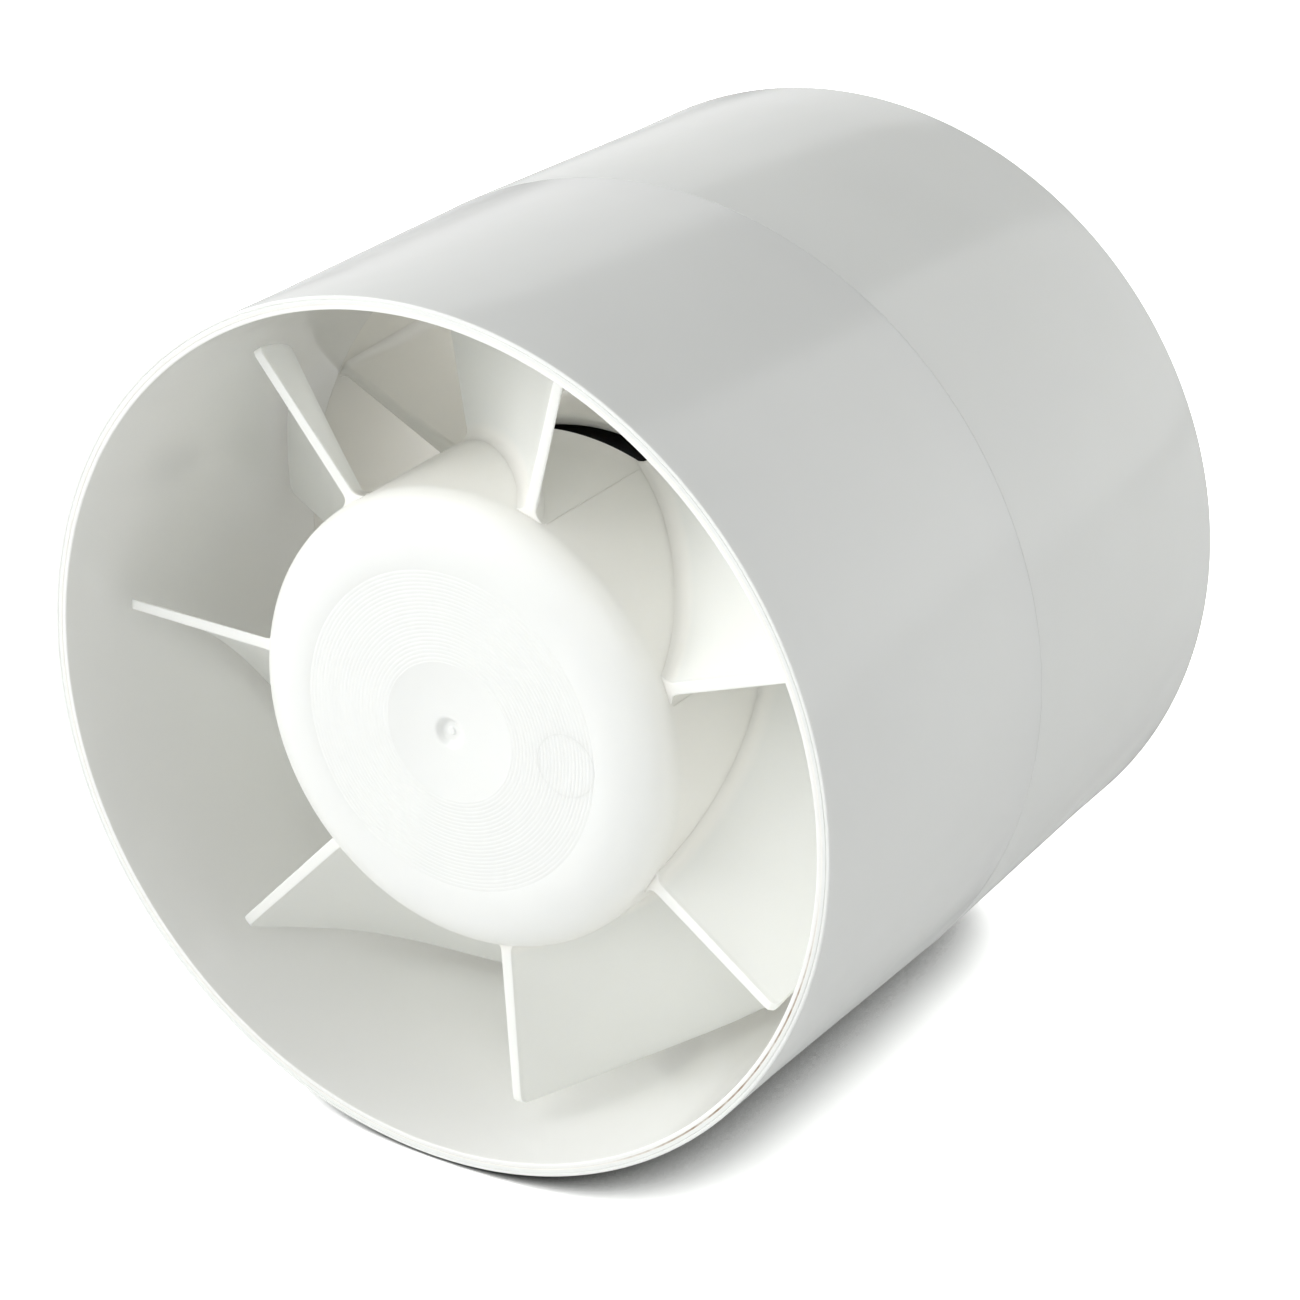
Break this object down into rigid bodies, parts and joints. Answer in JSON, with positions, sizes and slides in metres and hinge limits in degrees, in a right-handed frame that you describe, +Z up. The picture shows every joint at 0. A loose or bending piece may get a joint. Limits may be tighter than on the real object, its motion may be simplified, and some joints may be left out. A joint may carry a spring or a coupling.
{
  "type": "inline duct extractor fan",
  "caption": "White plastic inline duct fan: a round tube with an axial impeller, turned by a shaded-pole motor held in a strutted cup.",
  "frame": {"origin": "centre of the inlet rim, on the fan's axis", "axes": "+Y along the axis from the inlet to the outlet, the way the air goes; +Z up when the tube lies level; +X to the right seen from the inlet"},
  "size_m": [0.1248, 0.1115, 0.1248],
  "materials": {
    "casing_white": "smooth moulded white plastic, semi-gloss",
    "liner_white": "smooth moulded white plastic, glossy",
    "impeller_cream": "slightly translucent off-white plastic, satin",
    "motor_black": "black glass-filled plastic, matt",
    "lamination_steel": "varnished steel laminations",
    "winding_copper": "enamelled copper wire",
    "bobbin_nylon": "natural nylon",
    "sintered_bronze": "oil-filled sintered bronze",
    "oil_felt": "oil-soaked wool felt",
    "zinc_steel": "zinc-plated steel",
    "shaft_steel": "ground steel",
    "black_rubber": "moulded rubber",
    "fuse_ceramic": "white resin-sealed cut-out",
    "lead_blue": "insulated hook-up wire",
    "terminal_nylon": "natural polyamide",
    "terminal_brass": "brass",
    "cage_aluminium": "die-cast aluminium",
    "fibre_washer": "fibre laminate"
  },
  "bodies": {
    "housing": {"front_casing": "casing_white", "inlet_liner": "liner_white", "rear_casing": "casing_white", "motor_front_shield": "motor_black", "motor_rear_shield": "motor_black", "stator_core": "lamination_steel", "pole_bobbins": "bobbin_nylon", "coil_windings": "winding_copper", "shading_rings": "winding_copper", "front_bearing": "sintered_bronze", "rear_bearing": "sintered_bronze", "oil_felts": "oil_felt", "bearing_retainers": "zinc_steel", "motor_tie_screws": "zinc_steel", "motor_mount_screws": "zinc_steel", "mount_bushes": "black_rubber", "mount_washers": "zinc_steel", "thermal_fuse": "fuse_ceramic", "motor_leads": "lead_blue", "terminal_block": "terminal_nylon", "terminal_screws": "zinc_steel", "terminal_clamps": "terminal_brass", "block_screw": "zinc_steel", "cord_clamp": "terminal_nylon", "cord_clamp_screws": "zinc_steel", "terminal_cover": "casing_white", "cover_screws": "zinc_steel", "cup_grommet": "black_rubber", "casing_grommet": "black_rubber"},
    "spinner": {"impeller": "impeller_cream", "impeller_insert": "terminal_brass", "shaft": "shaft_steel", "rotor_core": "lamination_steel", "rotor_cage": "cage_aluminium", "rotor_spacers": "bobbin_nylon", "thrust_washers": "fibre_washer", "retaining_clip": "shaft_steel"}
  },
  "joints": [
    {"name": "impeller_spin", "type": "hinge", "parent": "housing", "child": "spinner", "pos_m": [0, 0, 0], "axis": [0, 1, 0], "continuous": true}
  ]
}
